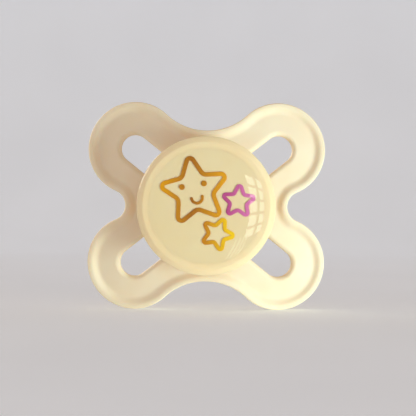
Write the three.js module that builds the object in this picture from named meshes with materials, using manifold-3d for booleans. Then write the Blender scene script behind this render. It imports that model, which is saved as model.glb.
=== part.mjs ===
// A newborn's pacifier. A bowl-shaped shield with four round lobes and four air slots holds a hollow silicone
// teat in its hub. A lock ring clamps the teat's flange, and a round button snaps into the hub's collar in
// front of it. The button is a cream base, a printed disc and a clear domed cover. It turns in the collar.
//
// Millimetres. +X right, +Z up, -Y to the front (the button), +Y to the baby (the teat). The origin is on the
// teat's axis, in the plane of the flat ring round the teat on the shield's back.
import * as THREE from "three";
import { mergeVertices } from "three/addons/utils/BufferGeometryUtils.js";
import Module from "manifold-3d";

const wasm = await Module();
wasm.setup();

// ---- Driving dimensions ----
const LOBE_X = 14.3; // centres of the four round lobes
const LOBE_Z = 11.3;
const LOBE_R = 9.2;
const WAIST_X = 15.9; // half width and half height of the shield at its waists
const WAIST_Z = 14.8;
const SLOT_R = 2.7; // half width of an air slot, and the radius of its round ends
const SLOT_START = 13.2; // from the axis to the centres of a slot's inner and outer ends
const SLOT_END = 18.0;
const BOWL_R = 62; // the shield's middle surface is part of a sphere, hollow towards the baby
const BOWL_FRONT = -1.9; // y of that surface on the axis
const PLATE = 2.0; // thickness of the shield
const RIM_R = 1.4; // half thickness of the rolled rim
const COLLAR_R = 8.0;
const COLLAR_FRONT = -5.6;
const BORE_R = 6.6; // the collar's bore, for the lock ring and the button's snap ring
const SEAT_Y = -1.6; // seat of the teat's flange at the bottom of that bore
const RING_R = 9.0; // the flat ring on the back
const TEAT_TIP = 27;
const NECK_R = 5.05;
const BULB_R = 6.1;
const BULB_WIDTH = 1.2; // the bulb is wider than it is thick: its stretch along X and along Z
const BULB_THICKNESS = 0.88;
const TEAT_WALL = 1.6;
const FLANGE = 1.05; // thickness of the teat's flange and of the lock ring
const BUTTON_R = 13.4;
const BUTTON_BACK = -5.8;
const BUTTON_RIM = 2.5; // thickness of the base at its rim
const PLATEAU_R = 11.1; // the raised middle of the base, which carries the printed disc
const PLATEAU = 0.3; // its height over the rim
const DISC = 0.15; // thickness of the printed disc
const INK = 0.1; // thickness of a printed line
const DOME_FRONT = -11.0;
const DOME_FLAT_R = 4.5; // the dome's flat middle
const CLEARANCE = 0.3; // round a piece that sits in a bore
const GAP = 0.05; // between faces that bear on each other
const ROUND = 40; // facets round a turned piece

const object = new THREE.Group();

function addPiece(name, geometry, look) {
  const mesh = new THREE.Mesh(geometry, new THREE.MeshStandardMaterial(look));
  mesh.name = name;
  object.add(mesh);
}

// ---- Materials ----
const CREAM_PLASTIC = { color: 0xf3e8c6, roughness: 0.5, metalness: 0 };
const GLOW_PLASTIC = { color: 0xf0e2b4, roughness: 0.45, metalness: 0 };
const SILICONE = { color: 0xf4eee0, roughness: 0.3, metalness: 0, transparent: true, opacity: 0.7 };
const CLEAR_PLASTIC = { color: 0xfffdf5, roughness: 0.05, metalness: 0, transparent: true, opacity: 0.25 };
const PRINTED_FILM = { color: 0xefddaa, roughness: 0.6, metalness: 0 };
const AMBER_INK = { color: 0xc8860a, roughness: 0.4, metalness: 0.2 };
const PINK_INK = { color: 0xc75bab, roughness: 0.4, metalness: 0.1 };
const YELLOW_INK = { color: 0xe0a512, roughness: 0.4, metalness: 0.2 };

// ---- Solids for cutting and joining ----
function solidOf(geometry) {
  const bare = geometry.clone();
  bare.deleteAttribute("normal");
  bare.deleteAttribute("uv");
  const merged = mergeVertices(bare, 1e-4);
  const corners = merged.index.array;
  const triVerts = [];
  for (let i = 0; i < corners.length; i += 3) {
    const [a, b, c] = corners.slice(i, i + 3);
    if (a !== b && b !== c && c !== a) triVerts.push(a, b, c);
  }
  return new wasm.Manifold(
    new wasm.Mesh({
      numProp: 3,
      vertProperties: merged.attributes.position.array,
      triVerts: new Uint32Array(triVerts),
    }),
  );
}

function geometryOf(solid) {
  const mesh = solid.getMesh();
  const geometry = new THREE.BufferGeometry();
  geometry.setAttribute("position", new THREE.BufferAttribute(mesh.vertProperties, 3));
  geometry.setIndex(new THREE.BufferAttribute(mesh.triVerts, 1));
  return geometry;
}

// ---- Turned pieces ----
// A profile is a list of [radius, y] points from the front to the back, turned about the Y axis.
function turned(profile) {
  return new THREE.LatheGeometry(profile.map(([r, y]) => new THREE.Vector2(r, y)), ROUND);
}

// Points of an arc in a profile, from angle a to angle b in degrees: 0 points outwards, 90 to the back.
function arc(r, y, radius, a, b, steps) {
  return Array.from({ length: steps + 1 }, (_, i) => {
    const angle = THREE.MathUtils.degToRad(a + ((b - a) * i) / steps);
    return [r + radius * Math.cos(angle), y + radius * Math.sin(angle)];
  });
}

// ---- The shield ----
const bowlCentre = BOWL_FRONT + BOWL_R;
const bowlY = (r, radius) => bowlCentre - Math.sqrt(radius ** 2 - r ** 2);

// The outline is four lobes joined by four waists, each an arc tangent to its neighbours.
function shieldOutline(inset) {
  const waistRadius = (along, across, waist) => {
    const step = waist - across;
    return (along ** 2 + step ** 2 - LOBE_R ** 2) / (2 * (LOBE_R - step));
  };
  const sideR = waistRadius(LOBE_Z, LOBE_X, WAIST_X);
  const topR = waistRadius(LOBE_X, LOBE_Z, WAIST_Z);
  const lobes = [[LOBE_X, LOBE_Z], [-LOBE_X, LOBE_Z], [-LOBE_X, -LOBE_Z], [LOBE_X, -LOBE_Z]];
  const waists = [
    [WAIST_X + sideR, 0, sideR],
    [0, WAIST_Z + topR, topR],
    [-WAIST_X - sideR, 0, sideR],
    [0, -WAIST_Z - topR, topR],
  ];
  const bearing = (from, to) => Math.atan2(to[1] - from[1], to[0] - from[0]);
  const outline = new THREE.Shape();
  lobes.forEach((lobe, i) => {
    const before = waists[i];
    const after = waists[(i + 1) % 4];
    const next = lobes[(i + 1) % 4];
    outline.absarc(...lobe, LOBE_R - inset, bearing(lobe, before), bearing(lobe, after), false);
    outline.absarc(after[0], after[1], after[2] + inset, bearing(after, lobe), bearing(after, next), true);
  });
  return outline;
}

// An air slot points from the axis to a lobe's centre. outset moves its wall outwards.
function slotOutline([signX, signZ], outset) {
  const angle = Math.atan2(signZ * LOBE_Z, signX * LOBE_X);
  const quarter = Math.PI / 2;
  const centre = (distance) => [distance * Math.cos(angle), distance * Math.sin(angle)];
  const outline = new THREE.Shape();
  outline.absarc(...centre(SLOT_END), SLOT_R + outset, angle - quarter, angle + quarter, false);
  outline.absarc(...centre(SLOT_START), SLOT_R + outset, angle + quarter, angle + 3 * quarter, false);
  outline.closePath();
  return outline;
}

// A flat outline as a prism right through the bowl.
function prism(outline, curveSegments) {
  const depth = 40;
  const geometry = new THREE.ExtrudeGeometry(outline, { depth, bevelEnabled: false, curveSegments });
  return solidOf(geometry.rotateX(Math.PI / 2).translate(0, depth / 2, 0));
}

// Part of a flat outline, laid on the bowl's middle surface.
class BowlCurve extends THREE.Curve {
  constructor(outline, start, length) {
    super();
    Object.assign(this, { outline, start, length });
  }

  getPoint(t) {
    const at = this.outline.getPointAt((this.start + this.length * t) % 1);
    return new THREE.Vector3(at.x, bowlY(at.length(), BOWL_R), at.y);
  }
}

// A round bead along a whole outline, as two halves that overlap at their ends.
function bead(outline, radius, steps, curveSegments) {
  const section = new THREE.Shape().absarc(0, 0, radius, 0, 2 * Math.PI, false);
  const halves = [0, 0.5].map((start) => {
    const extrudePath = new BowlCurve(outline, start, 0.505);
    return solidOf(new THREE.ExtrudeGeometry(section, { extrudePath, steps, curveSegments }));
  });
  return halves[0].add(halves[1]);
}

function plate() {
  const reach = 30;
  const rings = 6;
  const side = (radius) =>
    Array.from({ length: rings + 1 }, (_, i) => {
      const r = (reach * i) / rings;
      return [r, bowlY(r, radius)];
    });
  const front = side(BOWL_R + PLATE / 2);
  const back = side(BOWL_R - PLATE / 2);
  return solidOf(turned([...front, ...back.reverse()]));
}

// The hub is the collar in front and the flat ring behind.
function hub() {
  const edge = 0.4;
  return turned([
    [0, COLLAR_FRONT],
    [COLLAR_R - edge, COLLAR_FRONT],
    [COLLAR_R, COLLAR_FRONT + edge],
    [COLLAR_R, BOWL_FRONT],
    [RING_R + edge, BOWL_FRONT],
    [RING_R + edge, -edge],
    [RING_R, 0],
    [0, 0],
  ]);
}

// Its stepped bore has a groove for the button's snap bead, and a smaller hole for the teat's neck.
const snap = { front: -4.95, back: -4.35, height: 0.5 };
function hubBore() {
  const edge = 0.3;
  const beyond = 1;
  const hole = NECK_R + CLEARANCE;
  const groove = BORE_R + snap.height;
  return turned([
    [0, COLLAR_FRONT - beyond],
    [BORE_R + edge, COLLAR_FRONT - beyond],
    [BORE_R + edge, COLLAR_FRONT],
    [BORE_R, COLLAR_FRONT + edge],
    [BORE_R, snap.front - GAP],
    [groove, snap.front - GAP],
    [groove, snap.back + CLEARANCE],
    [BORE_R, snap.back + CLEARANCE],
    [BORE_R, SEAT_Y],
    [hole, SEAT_Y],
    [hole, -edge],
    [hole + edge, 0],
    [hole + edge, beyond],
    [0, beyond],
  ]);
}

function shield() {
  const rim = shieldOutline(RIM_R);
  const wall = PLATE / 2;
  let body = plate().intersect(prism(rim, 6));
  body = body.add(bead(rim, RIM_R, 44, 4));
  for (const side of [[1, 1], [-1, 1], [-1, -1], [1, -1]]) {
    const slot = slotOutline(side, wall);
    body = body.subtract(prism(slot, 4));
    body = body.add(bead(slot, wall, 12, 3));
  }
  return geometryOf(body.add(solidOf(hub())).subtract(solidOf(hubBore())));
}

// ---- The teat and its lock ring ----
const flangeR = BORE_R - CLEARANCE;
const flangeBack = SEAT_Y - GAP;
const flangeFront = flangeBack - FLANGE;
const lockBack = flangeFront - GAP;
const lockFront = lockBack - FLANGE;

// The teat's wall from the flange to the tip: a waisted neck, then a quarter of an ellipse.
function teatWall(inset, start) {
  const widest = 19.5;
  const neck = new THREE.CubicBezierCurve(
    new THREE.Vector2(NECK_R - inset, 0),
    new THREE.Vector2(NECK_R - inset - 1.1, 7.5),
    new THREE.Vector2(BULB_R - inset, 12),
    new THREE.Vector2(BULB_R - inset, widest),
  );
  const tip = new THREE.EllipseCurve(0, widest, BULB_R - inset, TEAT_TIP - inset - widest, 0, Math.PI / 2);
  const points = [...neck.getPoints(7), ...tip.getPoints(6).slice(1)].map((p) => [p.x, p.y]);
  points[points.length - 1][0] = 0;
  return [[NECK_R - inset, start], ...points];
}

function teat() {
  const inside = teatWall(TEAT_WALL, flangeFront);
  const outside = teatWall(0, flangeBack);
  const geometry = turned([
    ...inside.reverse(),
    [flangeR, flangeFront],
    [flangeR, flangeBack],
    ...outside,
  ]);
  const position = geometry.attributes.position;
  for (let i = 0; i < position.count; i++) {
    const part = THREE.MathUtils.smoothstep(position.getY(i), 3, 18);
    position.setX(i, position.getX(i) * THREE.MathUtils.lerp(1, BULB_WIDTH, part));
    position.setZ(i, position.getZ(i) * THREE.MathUtils.lerp(1, BULB_THICKNESS, part));
  }
  return geometryOf(solidOf(geometry));
}

// The lock ring's spigot stands inside the teat's neck, and its bore vents the teat.
function teatLock() {
  const vent = 1.2;
  const spigot = NECK_R - TEAT_WALL - CLEARANCE;
  const spigotBack = 2.0;
  const edge = 0.4;
  return turned([
    [vent, lockFront],
    [flangeR, lockFront],
    [flangeR, lockBack],
    [spigot, lockBack],
    [spigot, spigotBack - edge],
    [spigot - edge, spigotBack],
    [vent, spigotBack],
    [vent, lockFront],
  ]);
}

// ---- The button ----
const rimFront = BUTTON_BACK - BUTTON_RIM;
const plateauY = rimFront - PLATEAU;
const discBack = plateauY - GAP;
const inkBack = discBack - DISC - GAP;
const coverInside = inkBack - INK - GAP;

// The base is a round plate with a raised middle and, behind, a snap ring with a bead round it.
function buttonBase() {
  const edge = 0.9;
  const ringR = flangeR;
  const ringWall = 1.3;
  const ringBack = lockFront - GAP;
  const lead = 0.3;
  const beadR = BORE_R + snap.height - CLEARANCE / 2;
  return turned([
    [0, plateauY],
    [PLATEAU_R, plateauY],
    [PLATEAU_R, rimFront],
    [BUTTON_R, rimFront],
    ...arc(BUTTON_R - edge, BUTTON_BACK - edge, edge, 0, 90, 4),
    [ringR, BUTTON_BACK],
    [ringR, snap.front],
    [beadR, snap.front],
    [beadR, snap.front + lead],
    [ringR, snap.back],
    [ringR, ringBack - lead],
    [ringR - lead, ringBack],
    [ringR - ringWall, ringBack],
    [ringR - ringWall, BUTTON_BACK],
    [0, BUTTON_BACK],
  ]);
}

function buttonDisc() {
  const discR = PLATEAU_R - CLEARANCE;
  return turned([[0, discBack - DISC], [discR, discBack - DISC], [discR, discBack], [0, discBack]]);
}

// The clear cover's dome is flat in its middle and falls away faster and faster to its edge.
function buttonCover() {
  const side = 0.2; // the straight part of its edge
  const sideFront = rimFront - side;
  const steps = 8;
  const dome = Array.from({ length: steps + 1 }, (_, i) => {
    const turn = (Math.PI / 2) * (i / steps);
    const r = DOME_FLAT_R + (BUTTON_R - DOME_FLAT_R) * Math.sin(turn);
    return [r, sideFront + (DOME_FRONT - sideFront) * Math.cos(turn)];
  });
  const insideR = PLATEAU_R + CLEARANCE;
  return turned([
    [0, DOME_FRONT],
    ...dome,
    [BUTTON_R, rimFront - GAP],
    [insideR, rimFront - GAP],
    [insideR, coverInside],
    [0, coverInside],
  ]);
}

// ---- The print on the disc ----
// A star's line is drawn along a star with rounded tips and notches. outset moves it outwards. Each corner's
// bend runs from one side to the next, and half is the angle between a side and the line to the centre.
function starPath(path, { at: [x, z], tip, notch, turn, tipR, notchR }, outset) {
  const fifth = Math.PI / 5;
  const halfTip = Math.atan2(notch * Math.sin(fifth), tip - notch * Math.cos(fifth));
  const halfNotch = halfTip + fifth;
  const tipDistance = tip - tipR / Math.sin(halfTip);
  const notchDistance = notch + notchR / Math.sin(halfNotch);
  const bend = (direction, distance, radius, from, to, clockwise) => {
    const centre = [x + distance * Math.cos(direction), z + distance * Math.sin(direction)];
    path.absarc(...centre, radius, direction + from, direction + to, clockwise);
  };
  const quarter = Math.PI / 2;
  for (let i = 0; i < 5; i++) {
    const direction = quarter + THREE.MathUtils.degToRad(turn) + 2 * fifth * i;
    const sweep = quarter - halfTip;
    bend(direction, tipDistance, tipR + outset, -sweep, sweep, false);
    const turnBack = quarter - halfNotch;
    bend(direction + fifth, notchDistance, notchR - outset, Math.PI + turnBack, Math.PI - turnBack, true);
  }
  path.closePath();
  return path;
}

function printed(shape, curveSegments) {
  const geometry = new THREE.ExtrudeGeometry(shape, { depth: INK, bevelEnabled: false, curveSegments });
  return geometryOf(solidOf(geometry.rotateX(Math.PI / 2).translate(0, inkBack, 0)));
}

function star(figure) {
  const shape = starPath(new THREE.Shape(), figure, figure.line / 2);
  shape.holes.push(starPath(new THREE.Path(), figure, -figure.line / 2));
  return printed(shape, 2);
}

function dot([x, z], radius) {
  return printed(new THREE.Shape().absarc(x, z, radius, 0, 2 * Math.PI, false), 6);
}

// A smile is a bent line with round ends, from one angle to the other in degrees.
function smile({ at: [x, z], radius, line, from, to }) {
  const [a, b] = [from, to].map(THREE.MathUtils.degToRad);
  const half = line / 2;
  const end = (angle) => [x + radius * Math.cos(angle), z + radius * Math.sin(angle)];
  const shape = new THREE.Shape();
  shape.absarc(x, z, radius + half, a, b, false);
  shape.absarc(...end(b), half, b, b + Math.PI, false);
  shape.absarc(x, z, radius - half, b, a, true);
  shape.absarc(...end(a), half, a + Math.PI, a + 2 * Math.PI, false);
  return printed(shape, 6);
}

// ---- The assembly ----
const bigStar = { at: [-2.05, 2.85], tip: 7.2, notch: 3.5, turn: 9.8, tipR: 0.7, notchR: 1.25, line: 0.8 };
const smallStar = { tip: 3.5, notch: 1.6, tipR: 0.4, notchR: 0.6, line: 0.68 };
const pinkStar = { ...smallStar, at: [6.25, 0.87], turn: -3.5 };
const yellowStar = { ...smallStar, at: [2.1, -5.35], turn: -23.3 };
const mouth = { at: [-1.7, 1.5], radius: 0.95, line: 0.48, from: 189, to: 376 };

addPiece("shield", shield(), CREAM_PLASTIC);
addPiece("teat", teat(), SILICONE);
addPiece("teat_lock", teatLock(), CREAM_PLASTIC);
addPiece("button_base", buttonBase(), GLOW_PLASTIC);
addPiece("button_disc", buttonDisc(), PRINTED_FILM);
addPiece("big_star_print", star(bigStar), AMBER_INK);
addPiece("left_eye_print", dot([-4.7, 3.57], 0.5), AMBER_INK);
addPiece("right_eye_print", dot([-0.48, 4.3], 0.5), AMBER_INK);
addPiece("smile_print", smile(mouth), AMBER_INK);
addPiece("pink_star_print", star(pinkStar), PINK_INK);
addPiece("yellow_star_print", star(yellowStar), YELLOW_INK);
addPiece("button_cover", buttonCover(), CLEAR_PLASTIC);

export default object;
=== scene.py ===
"""Looks for a newborn's pacifier: a fine mesh and a finish for every piece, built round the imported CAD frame.

Sizes here are in millimetres and are turned into metres when a mesh is made. The front is -Y, the teat points
to +Y, and the teat's axis is the Y axis.
"""

import math

import bmesh
import bpy
import numpy as np
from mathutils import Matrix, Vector
from mathutils.geometry import delaunay_2d_cdt


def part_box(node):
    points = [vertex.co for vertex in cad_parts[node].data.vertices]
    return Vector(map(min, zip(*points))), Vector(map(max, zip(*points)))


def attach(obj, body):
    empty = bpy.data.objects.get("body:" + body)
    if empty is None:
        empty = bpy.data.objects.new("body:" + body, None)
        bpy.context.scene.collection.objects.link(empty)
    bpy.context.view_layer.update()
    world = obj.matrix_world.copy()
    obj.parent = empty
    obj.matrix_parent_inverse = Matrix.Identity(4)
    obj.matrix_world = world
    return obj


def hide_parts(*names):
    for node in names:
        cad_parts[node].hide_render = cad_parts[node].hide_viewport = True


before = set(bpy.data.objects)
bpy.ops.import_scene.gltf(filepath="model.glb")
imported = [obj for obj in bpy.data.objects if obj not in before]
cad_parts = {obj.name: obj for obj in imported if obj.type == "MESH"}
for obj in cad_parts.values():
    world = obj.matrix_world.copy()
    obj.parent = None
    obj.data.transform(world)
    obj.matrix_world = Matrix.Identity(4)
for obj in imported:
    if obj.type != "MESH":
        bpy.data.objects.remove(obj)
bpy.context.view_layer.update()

MM = 0.001
FULL_TURN = 2 * math.pi
QUARTER_TURN = math.pi / 2
ON_AXIS = 1e-6
FIXED_BODY = "shield_and_teat"
TURNING_BODY = "button"


def box_mm(node):
    low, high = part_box(node)
    return [c / MM for c in low], [c / MM for c in high]


# ---- Sizes: places come from the frame, and the rest are the shield's few driving dimensions ----
shield_low, shield_high = box_mm("shield")
teat_low, teat_high = box_mm("teat")
lock_low, lock_high = box_mm("teat_lock")
base_low, base_high = box_mm("button_base")
disc_low, disc_high = box_mm("button_disc")
ink_low, ink_high = box_mm("big_star_print")
cover_low, cover_high = box_mm("button_cover")

BUTTON_R = base_high[0]
LOBE_R = 9.2
LOBE_X = shield_high[0] - LOBE_R
LOBE_Z = shield_high[2] - LOBE_R
WAIST_X = 15.9
WAIST_Z = 14.8
SLOT_R = 2.7
SLOT_START = 13.2
SLOT_END = 18.0
BOWL_R = 62.0
BOWL_FRONT = -1.9  # the bowl's middle surface on the axis
HALF_PLATE = 1.0
COLLAR_R = 8.0
COLLAR_FRONT = shield_low[1]
BORE_R = 6.6
SNAP_FRONT = -5.0  # the groove in the bore that the button's bead snaps into
SNAP_BACK = -4.05
SNAP_DEPTH = 0.5
SEAT_Y = -1.6  # the step in the bore that the teat's flange rests on
HUB_R = 9.2  # where the plate's mesh meets the hub's
RING_R = 9.0
CLEARANCE = 0.3
NECK_R = 5.05
SLIVER = 0.05  # a gap or step too small to see


# ---- Mesh helpers ----
SHARP_ANGLE = math.radians(38)  # edges that bend more than this look sharp
SHIELD_SHARP_ANGLE = math.radians(50)


def mesh_object(name, vertices, faces, material, sharp_angle=SHARP_ANGLE):
    """A smooth-shaded mesh piece from points in millimetres."""
    mesh = bpy.data.meshes.new(name)
    mesh.from_pydata([tuple(np.asarray(v) * MM) for v in vertices], [], faces)
    mesh.validate()
    piece = bpy.data.objects.new(name, mesh)
    bpy.context.scene.collection.objects.link(piece)
    mesh.polygons.foreach_set("use_smooth", [True] * len(mesh.polygons))
    mesh.set_sharp_from_angle(angle=sharp_angle)
    mesh.materials.append(material)
    return piece


def fit(piece, body, node):
    """Makes a piece stand for a CAD node, with its body."""
    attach(piece, body)
    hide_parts(node)
    return piece


def ring_faces(first, second, count, flip=False):
    """Quads between two closed rings of vertices, given by their first indices."""
    faces = []
    for i in range(count):
        j = (i + 1) % count
        quad = (first + i, first + j, second + j, second + i)
        faces.append(quad[::-1] if flip else quad)
    return faces


def rounded(profile, steps=6):
    """A profile of (radius, y, corner radius) points with its corners rounded."""
    longest_share = 0.49  # of a side, so that two roundings never meet
    points = []
    last = len(profile) - 1
    for i, (r, y, corner) in enumerate(profile):
        here = np.array([r, y], float)
        if corner == 0 or i in (0, last):
            points.append(here)
            continue
        before = np.array(profile[i - 1][:2], float) - here
        after = np.array(profile[i + 1][:2], float) - here
        a = before / np.linalg.norm(before)
        b = after / np.linalg.norm(after)
        half = math.acos(max(-1.0, min(1.0, float(a @ b)))) / 2
        reach = corner / math.tan(half)
        limit = longest_share * min(np.linalg.norm(before), np.linalg.norm(after))
        reach = min(reach, limit)
        radius = reach * math.tan(half)
        bisector = (a + b) / np.linalg.norm(a + b)
        centre = here + bisector * radius / math.sin(half)
        start = here + a * reach - centre
        sweep = math.pi - 2 * half
        turn = 1 if start[0] * b[1] - start[1] * b[0] > 0 else -1
        for k in range(steps + 1):
            angle = turn * sweep * k / steps
            c, s = math.cos(angle), math.sin(angle)
            spoke = [c * start[0] - s * start[1], s * start[0] + c * start[1]]
            points.append(centre + np.array(spoke))
    return points


def turned(name, profile, material, count=192, shape=None):
    """A profile of (radius, y) points turned about the Y axis. Points on the axis close the piece."""
    vertices, faces, rings = [], [], []
    angles = np.linspace(0, FULL_TURN, count, endpoint=False)
    for r, y in profile:
        if r < ON_AXIS:
            rings.append((len(vertices), 1))
            vertices.append((0, y, 0))
        else:
            rings.append((len(vertices), count))
            vertices.extend((r * math.cos(a), y, r * math.sin(a)) for a in angles)
    closed = profile[0][0] > ON_AXIS and profile[-1][0] > ON_AXIS
    pairs = list(zip(rings, rings[1:])) + ([(rings[-1], rings[0])] if closed else [])
    for (a, na), (b, nb) in pairs:
        if na == nb:
            faces.extend(ring_faces(a, b, count))
        elif na == 1:
            faces.extend((a, b + (i + 1) % count, b + i) for i in range(count))
        else:
            faces.extend((a + i, a + (i + 1) % count, b) for i in range(count))
    vertices = np.array(vertices, float)
    if shape:
        vertices = shape(vertices)
    piece = mesh_object(name, vertices, faces, material)
    face_out(piece)
    return piece


def face_out(piece):
    """Turns every face of a closed piece outwards."""
    work = bmesh.new()
    work.from_mesh(piece.data)
    bmesh.ops.recalc_face_normals(work, faces=work.faces)
    work.to_mesh(piece.data)
    work.free()


# ---- Flat outlines, in the X-Z plane: points and the unit vectors that point out of the material ----
def arc(centre, radius, start, end, spacing, inward=False):
    """An arc without its last point, so that arcs and lines join up."""
    count = max(2, round(abs(end - start) * radius / spacing))
    angles = start + (end - start) * np.arange(count) / count
    radial = np.stack([np.cos(angles), np.sin(angles)], 1)
    return np.array(centre) + radius * radial, -radial if inward else radial


def line(a, b, outward, spacing):
    """A straight stretch without its last point."""
    a, b = np.array(a, float), np.array(b, float)
    count = max(1, round(float(np.linalg.norm(b - a)) / spacing))
    share = (np.arange(count) / count)[:, None]
    return a + (b - a) * share, np.repeat([outward], count, 0)


def joined(parts):
    return np.concatenate([p for p, _ in parts]), np.concatenate([n for _, n in parts])


def shield_outline(spacing):
    """Four lobes joined by four waists, each an arc tangent to its neighbours."""
    def waist_radius(along, across, waist):
        step = waist - across
        return (along**2 + step**2 - LOBE_R**2) / (2 * (LOBE_R - step))

    side_r = waist_radius(LOBE_Z, LOBE_X, WAIST_X)
    top_r = waist_radius(LOBE_X, LOBE_Z, WAIST_Z)
    lobes = [(LOBE_X, LOBE_Z), (-LOBE_X, LOBE_Z), (-LOBE_X, -LOBE_Z), (LOBE_X, -LOBE_Z)]
    waists = [
        (WAIST_X + side_r, 0, side_r),
        (0, WAIST_Z + top_r, top_r),
        (-WAIST_X - side_r, 0, side_r),
        (0, -WAIST_Z - top_r, top_r),
    ]

    def bearing(a, b):
        return math.atan2(b[1] - a[1], b[0] - a[0])

    def swept(start, end, clockwise):
        turn = (end - start) % FULL_TURN
        return start, start + (turn - FULL_TURN if clockwise else turn)

    parts = []
    for i, lobe in enumerate(lobes):
        before, after, following = waists[i], waists[(i + 1) % 4], lobes[(i + 1) % 4]
        turn = swept(bearing(lobe, before), bearing(lobe, after), False)
        parts.append(arc(lobe, LOBE_R, *turn, spacing))
        turn = swept(bearing(after, lobe), bearing(after, following), True)
        parts.append(arc(after[:2], after[2], *turn, spacing, inward=True))
    return joined(parts)


def slot_outline(sign_x, sign_z, spacing):
    """An air slot's wall. Out of the material is into the slot."""
    angle = math.atan2(sign_z * LOBE_Z, sign_x * LOBE_X)
    along = np.array([math.cos(angle), math.sin(angle)])
    across = np.array([-along[1], along[0]])
    quarter = QUARTER_TURN
    outer, inner = SLOT_END * along, SLOT_START * along
    return joined([
        arc(outer, SLOT_R, angle - quarter, angle + quarter, spacing, inward=True),
        line(outer + SLOT_R * across, inner + SLOT_R * across, -across, spacing),
        arc(inner, SLOT_R, angle + quarter, angle + 3 * quarter, spacing, inward=True),
        line(inner - SLOT_R * across, outer - SLOT_R * across, across, spacing),
    ])


# ---- The shield ----
def smooth(t):
    """A step from 0 to 1 that is level at both ends."""
    t = np.clip(t, 0, 1)
    return t * t * t * (t * (6 * t - 15) + 10)


def bowl_y(points, height):
    """Y of the points height in front of the bowl's middle surface, over flat points."""
    depth = np.sqrt(BOWL_R**2 - (points**2).sum(1))
    return BOWL_FRONT + BOWL_R - depth - height * BOWL_R / depth


LIP_R = 0.35  # the rim's front edge is rounded to this radius
LIP_HEIGHT = 1.95  # from the middle surface to the lip's crest
LIP_WIDTH = 2.15  # from the crest to the foot of the lip
BACK_R = 0.9  # the rim's back edge, in the same way
BACK_HEIGHT = 1.2
SLOT_EDGE_R = 0.95
SLOT_BACK_R = 0.6
FINE_EDGE = 3.6  # the mesh follows the outline this far in
OUTLINE_STEP = 0.3
RING_STEP = 0.22
GRID_STEP = 0.62
HUB_COUNT = 180


def front_height(distance):
    """Height of the front over the middle surface, by distance from the outline."""
    return LIP_HEIGHT + (HALF_PLATE - LIP_HEIGHT) * smooth((distance - LIP_R) / LIP_WIDTH)


def back_height(distance):
    """Height of the back over the middle surface, by distance from the outline."""
    return HALF_PLATE + (BACK_HEIGHT - HALF_PLATE) * (1 - smooth((distance - BACK_R) / LIP_WIDTH))


def edge_rings(points, outward, front_r, front_top, back_r, back_top):
    """The rounded edge along an outline: for each ring its flat inset, and its front and back points."""
    rings = []
    steps = 6
    for k in range(steps + 1):
        turn = QUARTER_TURN * k / steps
        sides = []
        for sign, radius, top in ((1, front_r, front_top), (-1, back_r, back_top)):
            flat = points - radius * (1 - math.cos(turn)) * outward
            y = bowl_y(points - radius * outward, sign * (top - radius + radius * math.sin(turn)))
            sides.append(np.stack([flat[:, 0], y, flat[:, 1]], 1))
        rings.append((front_r * k / steps, *sides))
    return rings


def lifted(points, front, back):
    """The front and back points over flat points, by their heights over the middle surface."""
    sides = []
    for height in (front, -back):
        sides.append(np.stack([points[:, 0], bowl_y(points, height), points[:, 1]], 1))
    return sides


def distance_to(points, outline):
    """Each point's distance to the nearest outline point, in chunks that fit in memory."""
    nearest = np.full(len(points), np.inf)
    chunk = 64
    for start in range(0, len(outline), chunk):
        step = points[:, None, :] - outline[None, start:start + chunk, :]
        nearest = np.minimum(nearest, np.sqrt((step**2).sum(2)).min(1))
    return nearest


def hub_profile(front, back):
    """The hub from the plate's front to its back: collar, stepped bore, and the flat ring."""
    groove_r = BORE_R + SNAP_DEPTH
    hole_r = NECK_R + CLEARANCE
    return rounded([
        (*front, 0),
        (COLLAR_R, front[1] - SLIVER, 1.1),
        (COLLAR_R, COLLAR_FRONT, 0.35),
        (BORE_R, COLLAR_FRONT, 0.3),
        (BORE_R, SNAP_FRONT, 0.08),
        (groove_r, SNAP_FRONT, 0.1),
        (groove_r, SNAP_BACK, 0.1),
        (BORE_R, SNAP_BACK, 0.08),
        (BORE_R, SEAT_Y, 0.1),
        (hole_r, SEAT_Y, 0.1),
        (hole_r, 0, 0.35),
        (RING_R, 0, 0.12),
        (RING_R + 0.06, back[1] - 0.02, 0.06),
        (*back, 0),
    ])


def inside_outline(points, outline):
    """Which points are inside a closed outline, by counting crossings to the right."""
    x, z = points[:, 0], points[:, 1]
    inside = np.zeros(len(points), bool)
    for (x0, z0), (x1, z1) in zip(outline, np.roll(outline, -1, 0)):
        if z0 == z1:
            continue
        crosses = (z0 > z) != (z1 > z)
        inside ^= crosses & (x < (x1 - x0) * (z - z0) / (z1 - z0) + x0)
    return inside


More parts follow.
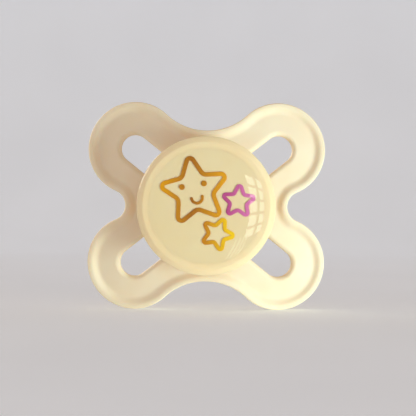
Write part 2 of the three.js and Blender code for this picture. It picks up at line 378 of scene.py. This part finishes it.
class Plate:
    """The shield's plate, gathered as flat points with a front and a back point over each."""

    def __init__(self):
        self.flat, self.front, self.back, self.labels = [], [], [], []
        self.edges = []
        self.walls = []

    def add(self, points, front, back, label=0, closed=True):
        """Adds points and returns the first one's index. No face joins three points of one label."""
        first = sum(len(f) for f in self.flat)
        self.flat.append(points)
        self.front.append(front)
        self.back.append(back)
        self.labels.append(np.full(len(points), label))
        if closed:
            count = len(points)
            self.edges.extend((first + i, first + (i + 1) % count) for i in range(count))
        return first

    def add_edge(self, outline, outward, label, *rounding):
        """A rounded edge along an outline. A wall joins its first ring's front and back."""
        for k, (inset, front, back) in enumerate(edge_rings(outline, outward, *rounding)):
            first = self.add(outline - inset * outward, front, back, 0 if k else label)
            if k == 0:
                self.walls.append((first, len(outline)))

    def faces(self):
        """Triangles over the front and the back, and the walls between them."""
        label = np.concatenate(self.labels)
        points = [Vector((float(x), float(z))) for x, z in np.concatenate(self.flat)]
        closest = 1e-7
        result = delaunay_2d_cdt(points, self.edges, [], 0, closest)
        triangles, sources = result[2], result[3]
        count = len(points)
        faces = []
        for triangle in triangles:
            a, b, c = (sources[i][0] for i in triangle)
            if label[a] and label[a] == label[b] == label[c]:
                continue
            faces.append((a, b, c))
            faces.append((c + count, b + count, a + count))
        for first, length in self.walls:
            faces.extend(ring_faces(first, first + count, length))
        return faces


def plate_grid(outline, slots):
    """Flat points in a triangular grid, clear of the edges, and their distances to the outline."""
    half_width, half_height = 24, 21
    columns = np.arange(-half_width, half_width, GRID_STEP)
    rows = np.arange(-half_height, half_height, GRID_STEP * math.sqrt(3) / 2)
    grid = np.array([(x + (j % 2) * GRID_STEP / 2, z) for j, z in enumerate(rows) for x in columns])
    to_edge = distance_to(grid, outline)
    inside = inside_outline(grid, outline) & (to_edge > FINE_EDGE + 0.2)
    inside &= np.hypot(*grid.T) > HUB_R + 0.4
    for wall in slots:
        inside &= ~inside_outline(grid, wall) & (distance_to(grid, wall) > SLOT_EDGE_R + 0.55)
    return grid[inside], to_edge[inside]


def build_plate(hub):
    """The plate round the hub's ring of flat points, and the index of that ring."""
    outline_label, first_slot_label, hub_label = 1, 2, 9
    plate = Plate()
    outline, outward = shield_outline(OUTLINE_STEP)
    plate.add_edge(outline, outward, outline_label, LIP_R, LIP_HEIGHT, BACK_R, BACK_HEIGHT)
    for inset in np.arange(LIP_R + 0.2, FINE_EDGE, RING_STEP):
        points = outline - inset * outward
        plate.add(points, *lifted(points, front_height(inset), back_height(inset)))
    slots = []
    for number, (sign_x, sign_z) in enumerate(((1, 1), (-1, 1), (-1, -1), (1, -1))):
        wall, into = slot_outline(sign_x, sign_z, OUTLINE_STEP)
        slots.append(wall)
        label = first_slot_label + number
        plate.add_edge(wall, into, label, SLOT_EDGE_R, HALF_PLATE, SLOT_BACK_R, HALF_PLATE)
        points = wall - (SLOT_EDGE_R + 0.15) * into
        plate.add(points, *lifted(points, HALF_PLATE, HALF_PLATE))
    hub_first = plate.add(hub, *lifted(hub, HALF_PLATE, HALF_PLATE), hub_label)
    grid, to_edge = plate_grid(outline, slots)
    plate.add(grid, *lifted(grid, front_height(to_edge), back_height(to_edge)), closed=False)
    return plate, hub_first


def build_shield(material):
    angles = np.linspace(0, FULL_TURN, HUB_COUNT, endpoint=False)
    hub = HUB_R * np.stack([np.cos(angles), np.sin(angles)], 1)
    plate, hub_first = build_plate(hub)
    faces = plate.faces()
    front, back = np.concatenate(plate.front), np.concatenate(plate.back)
    vertices = [*front, *back]
    previous = hub_first
    for r, y in hub_profile(front[hub_first][:2], back[hub_first][:2])[1:-1]:
        first = len(vertices)
        vertices.extend((r * math.cos(a), y, r * math.sin(a)) for a in angles)
        faces.extend(ring_faces(previous, first, HUB_COUNT))
        previous = first
    faces.extend(ring_faces(previous, hub_first + len(front), HUB_COUNT))
    piece = mesh_object("shield_moulding", vertices, faces, material, SHIELD_SHARP_ANGLE)
    face_out(piece)
    return fit(piece, FIXED_BODY, "shield")


# ---- The teat and its lock ring ----
TEAT_WALL = 1.6
NECK_WAIST = 1.1
BULB_WIDTH = 1.2
BULB_THICKNESS = 0.88
BULB_Y = 19.5  # where the bulb is widest
FLATTENING_START = 3
FLATTENING_LENGTH = 15


def teat_side(inset):
    """One side of the teat's wall: a slightly waisted neck that swells into a bulb with a round end."""
    tip = teat_high[1]
    bulb_r = teat_high[0] / BULB_WIDTH
    curve = [(NECK_R, 0), (NECK_R - NECK_WAIST, 7.5), (bulb_r, 12), (bulb_r, BULB_Y)]
    a, b, c, d = (np.array(p, float) for p in curve)
    points = []
    for t in np.linspace(0, 1, 40):
        s = 1 - t
        r, y = s**3 * a + 3 * s * s * t * b + 3 * s * t * t * c + t**3 * d
        points.append((r - inset, y))
    for t in np.linspace(0, QUARTER_TURN, 32)[1:]:
        points.append(((bulb_r - inset) * math.cos(t), BULB_Y + (tip - inset - BULB_Y) * math.sin(t)))
    points[-1] = (0, points[-1][1])
    return points


def flattened(vertices):
    """The bulb is wider than it is thick, and the neck is round."""
    share = smooth((vertices[:, 1] - FLATTENING_START) / FLATTENING_LENGTH)
    vertices[:, 0] *= 1 + (BULB_WIDTH - 1) * share
    vertices[:, 2] *= 1 + (BULB_THICKNESS - 1) * share
    return vertices


def build_teat(material):
    flange_front, flange_r = teat_low[1], BORE_R - CLEARANCE
    flange_back = SEAT_Y - SLIVER
    neck_start = flange_back + 1.2
    flange = rounded([
        (NECK_R - TEAT_WALL, flange_front, 0),
        (flange_r, flange_front, 0.3),
        (flange_r, flange_back, 0.3),
        (NECK_R, flange_back, 0.25),
        (NECK_R, neck_start, 0),
    ])
    inside = teat_side(TEAT_WALL)[::-1]
    outside = [p for p in teat_side(0) if p[1] > neck_start + 0.1]
    piece = turned("silicone_teat", inside + flange + outside, material, 128, flattened)
    return fit(piece, FIXED_BODY, "teat")


def build_lock(material):
    vent = 1.2
    spigot = NECK_R - TEAT_WALL - CLEARANCE
    flange_back = lock_low[1] + 1.05
    middle = (lock_low[1] + lock_high[1]) / 2
    profile = rounded([
        (vent, middle, 0),
        (vent, lock_low[1], 0.2),
        (lock_high[0], lock_low[1], 0.2),
        (lock_high[0], flange_back, 0.2),
        (spigot, flange_back, 0.2),
        (spigot, lock_high[1], 0.4),
        (vent, lock_high[1], 0.2),
        (vent, middle + 0.1, 0),
    ])
    return fit(turned("teat_lock_ring", profile, material, 96), FIXED_BODY, "teat_lock")


# ---- The button ----
PLATEAU_R = 11.1  # the film and the recess that holds it
SHOULDER_R = 12.3  # where the base's front turns down to its rim
RIM_THICKNESS = 2.5
DOME_SIDE = 0.2  # the straight part of the cover's edge


def build_base(material):
    rim_front = cover_back()
    back = rim_front + RIM_THICKNESS
    recess_r = PLATEAU_R + 0.005
    ring_r, ring_wall = BORE_R - CLEARANCE, 1.3
    bead_r = BORE_R + 0.35
    bead_front, bead_crest, bead_back = -4.95, -4.6, -4.3
    profile = rounded([
        (0, base_low[1], 0),
        (recess_r, base_low[1], 0),
        (recess_r, ring_front(), 0),
        (SHOULDER_R, ring_front(), 0.8),
        (BUTTON_R, rim_front, 0.1),
        (BUTTON_R, back, 0.9),
        (ring_r, back, 0.3),
        (ring_r, bead_front, 0.05),
        (bead_r, bead_front, 0.1),
        (bead_r, bead_crest, 0.1),
        (ring_r, bead_back, 0.1),
        (ring_r, base_high[1], 0.2),
        (ring_r - ring_wall, base_high[1], 0.15),
        (ring_r - ring_wall, back, 0.2),
        (0, back, 0),
    ], 8)
    piece = turned("button_base_moulding", profile, material)
    return fit(piece, TURNING_BODY, "button_base")


def cover_back():
    """Where the base's rim meets the cover."""
    return cover_high[1] + SLIVER


def ring_front():
    """The base's front round the film, which sits flush in a shallow recess."""
    return disc_low[1]


def dome_y(r):
    """The dome's outer surface: shallow in the middle and steep at its edge."""
    flatness = 2.5  # 2 would be an ellipse
    side = cover_back() - DOME_SIDE
    drop = math.sqrt(max(0.0, 1 - (r / BUTTON_R) ** flatness))
    return side + (cover_low[1] - side) * drop


def build_cover(material):
    inside_r = PLATEAU_R + SLIVER
    inside_y = ink_low[1] - SLIVER
    seat = ring_front() - SLIVER
    radii = [BUTTON_R * math.sin(t) for t in np.linspace(0, QUARTER_TURN, 64)]
    profile = rounded([(r, dome_y(r), 0) for r in radii] + [
        (BUTTON_R, cover_high[1], 0.05),
        (SHOULDER_R, seat, 0.8),
        (inside_r, seat, 0.05),
        (inside_r, inside_y, 0.05),
        (0, inside_y, 0),
    ])
    piece = turned("clear_cover", profile, material, 256)
    return fit(piece, TURNING_BODY, "button_cover")


def build_disc(material):
    profile = rounded([
        (0, disc_low[1], 0),
        (PLATEAU_R, disc_low[1], 0),
        (PLATEAU_R, disc_high[1], 0),
        (0, disc_high[1], 0),
    ])
    piece = turned("printed_disc", profile, material)
    return fit(piece, TURNING_BODY, "button_disc")


# ---- The print: raised lines of ink on the disc ----
INK_EDGE = 0.04  # how far the ink's top stands back from its foot
STAR_STEP = 0.05
SMILE_STEP = 0.04
EYE_R = 0.56
BIG_STAR = dict(centre=(-2.2, 2.85), tip=7.3, notch=3.5, turn=9.8, tip_r=0.7, notch_r=1.25)
SMALL_STAR = dict(tip=3.6, notch=1.62, tip_r=0.4, notch_r=0.6)


def ink_rings(outline, outward, widths):
    """Rings of 3-D points for an ink line: each width is (outset, share of the ink's height)."""
    rings = []
    for outset, share in widths:
        flat = outline + outset * outward
        y = ink_high[1] + (ink_low[1] - ink_high[1]) * share
        rings.append(np.stack([flat[:, 0], np.full(len(flat), y), flat[:, 1]], 1))
    return rings


def ring_mesh(name, rings, closed, material):
    """A mesh through rings of points, either closed on itself or capped at both ends."""
    count = len(rings[0])
    vertices = np.concatenate(rings)
    faces = []
    for k in range(len(rings) - 1):
        faces.extend(ring_faces(k * count, (k + 1) * count, count))
    if closed:
        faces.extend(ring_faces((len(rings) - 1) * count, 0, count))
    else:
        faces.append(tuple(range(count)))
        faces.append(tuple(range((len(rings) - 1) * count, len(rings) * count)))
    piece = mesh_object(name, vertices, faces, material)
    face_out(piece)
    return piece


def star_line(centre, tip, notch, turn, tip_r, notch_r):
    """The middle of a star's line: rounded tips and notches joined by straight sides."""
    half_point = math.pi / 5  # from a tip to the next notch
    half_tip = math.atan2(notch * math.sin(half_point), tip - notch * math.cos(half_point))
    half_notch = half_tip + half_point

    def at(distance, way):
        return np.array(centre) + distance * np.array([math.cos(way), math.sin(way)])

    parts = []
    for i in range(5):
        way = QUARTER_TURN + math.radians(turn) + 2 * half_point * i
        tip_centre = at(tip - tip_r / math.sin(half_tip), way)
        sweep = QUARTER_TURN - half_tip
        parts.append(arc(tip_centre, tip_r, way - sweep, way + sweep, STAR_STEP))
        way += half_point
        notch_centre = at(notch + notch_r / math.sin(half_notch), way)
        sweep = QUARTER_TURN - half_notch
        back = way + math.pi
        parts.append(arc(notch_centre, notch_r, back + sweep, back - sweep, STAR_STEP, inward=True))
    return joined(parts)


def build_star(name, node, slot, material, line_width, **figure):
    outline, outward = star_line(**figure)
    half = line_width / 2
    top = half - INK_EDGE
    widths = [(half, 0), (half, 0.5), (top, 1), (-top, 1), (-half, 0.5), (-half, 0)]
    piece = ring_mesh(name, ink_rings(outline, outward, widths), True, material)
    return fit(piece, TURNING_BODY, node)


def build_pad(name, node, outline, outward, material):
    """A filled figure of ink: a dot or a short bent line."""
    widths = [(0, 0), (0, 0.5), (-INK_EDGE, 1)]
    piece = ring_mesh(name, ink_rings(outline, outward, widths), False, material)
    return fit(piece, TURNING_BODY, node)


def smile_outline(centre, radius, line_width, start, end):
    """A bent line with round ends, from one bearing to another in degrees."""
    a, b = math.radians(start), math.radians(end)
    half = line_width / 2
    centre = np.array(centre)

    def at(angle):
        return centre + radius * np.array([math.cos(angle), math.sin(angle)])

    return joined([
        arc(centre, radius + half, a, b, SMILE_STEP),
        arc(at(b), half, b, b + math.pi, SMILE_STEP),
        arc(centre, radius - half, b, a, SMILE_STEP, inward=True),
        arc(at(a), half, a + math.pi, a + FULL_TURN, SMILE_STEP),
    ])


def build_print(amber, pink, yellow):
    pink_star = dict(centre=(6.2, 0.92), turn=-3.5, **SMALL_STAR)
    yellow_star = dict(centre=(2.2, -5.38), turn=-23.3, **SMALL_STAR)
    build_star("big_star_ink", "big_star_print", "amber_ink", amber, 0.86, **BIG_STAR)
    build_star("pink_star_ink", "pink_star_print", "pink_ink", pink, 0.74, **pink_star)
    build_star("yellow_star_ink", "yellow_star_print", "yellow_ink", yellow, 0.78, **yellow_star)
    for side, centre in (("left", (-4.7, 3.57)), ("right", (-0.48, 4.3))):
        outline, outward = arc(centre, EYE_R, 0, FULL_TURN, STAR_STEP)
        build_pad(side + "_eye_ink", side + "_eye_print", outline, outward, amber)
    outline, outward = smile_outline((-1.78, 1.55), 1.05, 0.56, 189, 376)
    build_pad("smile_ink", "smile_print", outline, outward, amber)


# ---- Materials ----
def srgb(r, g, b):
    """A colour picked in 0-255 sRGB as linear RGBA."""
    def linear(c):
        c /= 255
        return c / 12.92 if c <= 0.04045 else ((c + 0.055) / 1.055) ** 2.4

    return (linear(r), linear(g), linear(b), 1)


class Nodes:
    """A material's node tree, built a node at a time."""

    def __init__(self, name):
        self.material = bpy.data.materials.new(name)
        self.material.use_nodes = True
        self.tree = self.material.node_tree
        self.tree.nodes.clear()
        self.output = self.tree.nodes.new("ShaderNodeOutputMaterial")

    def add(self, kind, inputs=None, **settings):
        node = self.tree.nodes.new("ShaderNode" + kind)
        for key, value in settings.items():
            setattr(node, key, value)
        for key, value in (inputs or {}).items():
            if isinstance(value, bpy.types.NodeSocket):
                self.tree.links.new(value, node.inputs[key])
            else:
                node.inputs[key].default_value = value
        return node

    def place(self):
        return self.add("TexCoord").outputs["Object"]

    def noise(self, size, detail=2.0, roughness=0.5):
        """Noise whose features are about size metres across."""
        node = self.add("TexNoise", {"Vector": self.place(), "Scale": 1 / size, "Detail": detail,
                                     "Roughness": roughness})
        return node.outputs["Fac"]

    def ramp(self, value, low, high, start=0.3, end=0.7):
        node = self.add("ValToRGB", {"Fac": value})
        for stop, position, colour in zip(node.color_ramp.elements, (start, end), (low, high)):
            stop.position = position
            stop.color = colour
        return node.outputs["Color"]

    def scaled(self, value, low, high):
        node = self.add("MapRange", {"Value": value, "To Min": low, "To Max": high})
        return node.outputs["Result"]

    def math(self, operation, a, b=0.0):
        return self.add("Math", {0: a, 1: b}, operation=operation).outputs["Value"]

    def bump(self, height, distance, strength=1.0):
        node = self.add("Bump", {"Height": height, "Distance": distance, "Strength": strength})
        return node.outputs["Normal"]

    def finish(self, shader):
        self.tree.links.new(shader, self.output.inputs["Surface"])
        return self.material


def soft_plastic(name, light, dark, roughness, subsurface, grain):
    """Opaque moulded plastic that light soaks into a little, with a fine moulded grain."""
    n = Nodes(name)
    colour = n.ramp(n.noise(0.006, 3), dark, light)
    rough = n.scaled(n.noise(0.0009, 4), roughness - 0.06, roughness + 0.06)
    normal = n.bump(n.noise(0.00022, 3, 0.6), grain)
    shader = n.add("BsdfPrincipled", {
        "Base Color": colour,
        "Roughness": rough,
        "Normal": normal,
        "IOR": 1.49,
        "Subsurface Weight": subsurface,
        "Subsurface Radius": (1.0, 0.62, 0.32),
        "Subsurface Scale": 0.0014,
    })
    return n.finish(shader.outputs["BSDF"])


def silicone():
    """Clear soft rubber: mostly see-through, with a milky body and a soft shine on its outer skin."""
    n = Nodes("silicone")
    outer_skin = n.math("LESS_THAN", n.add("LightPath").outputs["Transparent Depth"], 0.5)
    milky = n.add("BsdfPrincipled", {
        "Base Color": n.ramp(n.noise(0.008), srgb(240, 233, 216), srgb(250, 244, 230)),
        "Roughness": n.scaled(n.noise(0.0012, 3), 0.2, 0.3),
        "Specular IOR Level": n.scaled(outer_skin, 0.0, 0.5),
        "Normal": n.bump(n.noise(0.0005, 2), 0.000002),
        "IOR": 1.41,
    })
    clear = n.add("BsdfTransparent", {"Color": (0.97, 0.94, 0.88, 1)})
    edge = n.add("LayerWeight", {"Blend": 0.35}).outputs["Facing"]
    share = n.scaled(edge, 0.35, 0.8)
    mix = n.add("MixShader", {0: share, 1: clear.outputs["BSDF"], 2: milky.outputs["BSDF"]})
    return n.finish(mix.outputs["Shader"])


MILKY_FROM_R = PLATEAU_R - 0.8


def clear_plastic():
    """Polished clear plastic that doesn't bend light, with a milky outer ring."""
    n = Nodes("clear_plastic")
    rough = n.scaled(n.noise(0.003, 3), 0.004, 0.016)
    shine = n.add("BsdfGlossy", {"Roughness": rough, "Color": (1, 1, 1, 1)})
    clear = n.add("BsdfTransparent", {"Color": (0.995, 0.985, 0.95, 1)})
    milk = n.add("BsdfDiffuse", {"Color": srgb(255, 244, 214)})
    place = n.add("SeparateXYZ", {0: n.place()})
    x, z = place.outputs["X"], place.outputs["Z"]
    square = n.math("ADD", n.math("POWER", x, 2), n.math("POWER", z, 2))
    radius = n.math("POWER", square, 0.5)
    ring = n.add("MapRange", {
        "Value": radius,
        "From Min": MILKY_FROM_R * MM,
        "From Max": BUTTON_R * MM,
        "To Min": 0.01,
        "To Max": 0.2,
    }, interpolation_type="SMOOTHSTEP").outputs["Result"]
    body = n.add("MixShader", {0: ring, 1: clear.outputs["BSDF"], 2: milk.outputs["BSDF"]})
    fresnel = n.math("MINIMUM", n.add("Fresnel", {"IOR": 1.49}).outputs["Fac"], 0.5)
    outer = n.add("MixShader", {0: fresnel, 1: body.outputs["Shader"], 2: shine.outputs["BSDF"]})
    surface = n.add("NewGeometry").outputs
    ahead = n.add("CombineXYZ", {"X": x, "Y": -2 * BUTTON_R * MM, "Z": z})
    facing = n.add("VectorMath", {0: surface["Normal"], 1: ahead.outputs[0]}, operation="DOT_PRODUCT")
    hollow = n.math("LESS_THAN", facing.outputs["Value"], 0.0)
    inside = n.math("MAXIMUM", surface["Backfacing"], hollow)
    mix = n.add("MixShader", {0: inside, 1: outer.outputs["Shader"], 2: clear.outputs["BSDF"]})
    return n.finish(mix.outputs["Shader"])


def ink(name, dark, light, darkest_x, reach):
    """Ink whose tone rises to both sides of a line at darkest_x, with a fine speckle."""
    n = Nodes(name)
    x = n.add("SeparateXYZ", {0: n.place()}).outputs["X"]
    offset = n.math("ABSOLUTE", n.math("SUBTRACT", x, darkest_x * MM))
    drift = n.math("DIVIDE", offset, reach * MM)
    speckle = n.noise(0.0003, 2)
    tone = n.math("ADD", drift, n.math("MULTIPLY", n.math("SUBTRACT", speckle, 0.5), 0.5))
    shader = n.add("BsdfPrincipled", {
        "Base Color": n.ramp(tone, dark, light, 0.0, 1.0),
        "Roughness": 0.4,
        "Specular IOR Level": 0.1,
        "Normal": n.bump(speckle, 0.00001),
    })
    return n.finish(shader.outputs["BSDF"])


# ---- Stage: a round pale studio, soft lights and the camera ----
def build_stage():
    n = Nodes("studio_paper")
    shade = n.ramp(n.noise(0.05, 2), srgb(233, 238, 244), srgb(237, 242, 248))
    shader = n.add("BsdfPrincipled", {
        "Base Color": shade,
        "Roughness": 0.9,
        "Emission Color": shade,
        "Emission Strength": 0.22,
    })
    paper = n.finish(shader.outputs["BSDF"])
    floor_z = shield_low[2]
    wall_r, cove_r, wall_top = 620, 200, 420
    profile = [(0, floor_z), (wall_r - cove_r, floor_z)]
    for t in np.linspace(0, QUARTER_TURN, 24)[1:]:
        r = wall_r - cove_r + cove_r * math.sin(t)
        profile.append((r, floor_z + cove_r * (1 - math.cos(t))))
    profile.append((wall_r, wall_top))
    vertices, faces = [(0, 0, floor_z)], []
    count = 96
    for r, z in profile[1:]:
        for i in range(count):
            a = FULL_TURN * i / count
            vertices.append((r * math.cos(a), r * math.sin(a), z))
    faces.extend((0, 1 + i, 1 + (i + 1) % count) for i in range(count))
    for k in range(len(profile) - 2):
        faces.extend(ring_faces(1 + k * count, 1 + (k + 1) * count, count, flip=True))
    studio = mesh_object("studio", vertices, faces, paper)
    studio.visible_glossy = False
    return studio


def aim(thing, forward):
    """Turns a thing to face the origin along its forward axis."""
    thing.rotation_mode = "QUATERNION"
    thing.rotation_quaternion = (-thing.location).to_track_quat(forward, "Y")


def soft_light(name, place, size, power, colour):
    """A rectangular lamp that shines at the origin."""
    lamp = bpy.data.lights.new(name, "AREA")
    lamp.shape = "RECTANGLE"
    lamp.size, lamp.size_y = (s * MM for s in size)
    lamp.energy = power
    lamp.color = colour
    light = bpy.data.objects.new(name, lamp)
    bpy.context.scene.collection.objects.link(light)
    light.location = Vector(place) * MM
    aim(light, "-Z")
    light.visible_camera = False
    return light


def panel(name, strength, panes):
    """A flat light that only polished surfaces see: a list of (x0, z0, x1, z1) panes facing +Z."""
    n = Nodes(name)
    glow = n.add("Emission", {"Color": srgb(255, 252, 244), "Strength": strength})
    vertices, faces = [], []
    for x0, z0, x1, z1 in panes:
        first = len(vertices)
        vertices.extend([(x0, z0, 0), (x1, z0, 0), (x1, z1, 0), (x0, z1, 0)])
        faces.append(tuple(range(first, first + 4)))
    light = mesh_object(name, vertices, faces, n.finish(glow.outputs["Emission"]))
    for kind in ("camera", "diffuse", "transmission", "volume_scatter", "shadow"):
        setattr(light, "visible_" + kind, False)
    return light


def build_window():
    """What the dome mirrors: a paned window with a pale wall round it, and a slatted blind."""
    columns, rows = 2, 5
    width, height, bar = 170, 270, 12
    panes = []
    for i in range(columns):
        for j in range(rows):
            x0 = (i / columns - 0.5) * width + bar
            z0 = (j / rows - 0.5) * height + bar / 2
            panes.append((x0, z0, x0 + width / columns - 2 * bar, z0 + height / rows - bar))
    window = panel("window", 5.0, panes)
    wall = panel("bright_wall", 0.35, [(-160, -260, 420, 260)])
    slats = [(x - 5, -70, x + 5, 70) for x in (-30, -10, 10, 30)]
    blind = panel("blind", 3.0, slats)
    blind.location = Vector((132, -446, -185)) * MM
    aim(blind, "Z")
    bearing = math.radians(26)
    for light, distance in ((window, 500), (wall, 520)):
        place = Vector((distance * math.sin(bearing), -distance * math.cos(bearing), 0))
        light.location = place * MM
        light.rotation_euler = (QUARTER_TURN, 0, math.pi + bearing)


def build_camera():
    lens, sensor = 150.0, 36.0
    view_width = 82.7  # mm across the picture, in the plane of the lobes
    lobes_y = 3.2
    off_centre_x, off_centre_z = 0.35, -0.4
    distance = view_width * lens / sensor
    camera = bpy.data.objects.new("camera", bpy.data.cameras.new("camera"))
    bpy.context.scene.collection.objects.link(camera)
    camera.data.lens = lens
    camera.data.sensor_width = sensor
    camera.data.clip_start = 0.01
    camera.location = Vector((off_centre_x, lobes_y - distance, off_centre_z)) * MM
    roll = math.radians(-0.55)
    camera.rotation_euler = (QUARTER_TURN, roll, 0)
    bpy.context.scene.camera = camera
    bpy.context.scene.view_settings.view_transform = "Standard"


def build_world(seen_strength, mirrored_strength):
    """A warm even light, weaker in mirrors than on surfaces."""
    world = bpy.data.worlds.new("world")
    world.use_nodes = True
    tree = world.node_tree
    background = tree.nodes["Background"]
    background.inputs["Color"].default_value = (1.0, 0.79, 0.65, 1)
    mirrored = tree.nodes.new("ShaderNodeLightPath").outputs["Is Glossy Ray"]
    strength = tree.nodes.new("ShaderNodeMapRange")
    strength.inputs["To Min"].default_value = seen_strength
    strength.inputs["To Max"].default_value = mirrored_strength
    tree.links.new(mirrored, strength.inputs["Value"])
    tree.links.new(strength.outputs["Result"], background.inputs["Strength"])
    bpy.context.scene.world = world


def build_lights(studio, button_pieces):
    build_world(0.43, 0.3)
    key = soft_light("key", (206, -142, -64), (110, 110), 0.66, (0.7, 0.88, 0.88))
    key.visible_glossy = False
    back = soft_light("back", (-220, 300, 160), (200, 200), 0.6, (1.0, 0.92, 0.82))
    rim = soft_light("rim", (-380, 60, 170), (160, 160), 0.4, (1.0, 0.97, 0.92))
    all_but_studio = bpy.data.collections.new("all_but_studio")
    all_but_studio.objects.link(studio)
    all_but_studio.collection_objects[0].light_linking.link_state = "EXCLUDE"
    # The key stands lower than the floor, so the floor mustn't block it or catch it.
    key.light_linking.blocker_collection = all_but_studio
    for light in (key, back, rim):
        light.light_linking.receiver_collection = all_but_studio
    glow_light = soft_light("glow", (-50, -48, -34), (30, 30), 0.1, (1.0, 0.72, 0.38))
    glow_light.visible_glossy = False
    button_only = bpy.data.collections.new("button_only")
    for piece in button_pieces:
        button_only.objects.link(piece)
    glow_light.light_linking.receiver_collection = button_only
    build_window()


# ---- The object ----
ivory = soft_plastic("ivory_plastic", srgb(250, 233, 202), srgb(247, 227, 192), 0.46, 0.22, 0.000006)
lock_white = soft_plastic("lock_plastic", srgb(247, 240, 222), srgb(242, 234, 214), 0.4, 0.2, 0.000005)
glow = soft_plastic("glow_plastic", srgb(255, 230, 189), srgb(254, 226, 183), 0.44, 0.2, 0.000004)
film = soft_plastic("printed_film", srgb(255, 230, 187), srgb(254, 226, 180), 0.44, 0.2, 0.000004)
amber = ink("amber_ink", srgb(170, 102, 0), srgb(230, 160, 0), -2.8, 6.0)
pink = ink("pink_ink", srgb(186, 68, 142), srgb(228, 126, 194), 3.8, 5.0)
yellow = ink("yellow_ink", srgb(202, 128, 0), srgb(252, 206, 0), -0.3, 5.0)

build_shield(ivory)
build_teat(silicone())
build_lock(lock_white)
button_pieces = [build_base(glow), build_disc(film)]
build_print(amber, pink, yellow)
build_cover(clear_plastic())
build_lights(build_stage(), button_pieces)
build_camera()
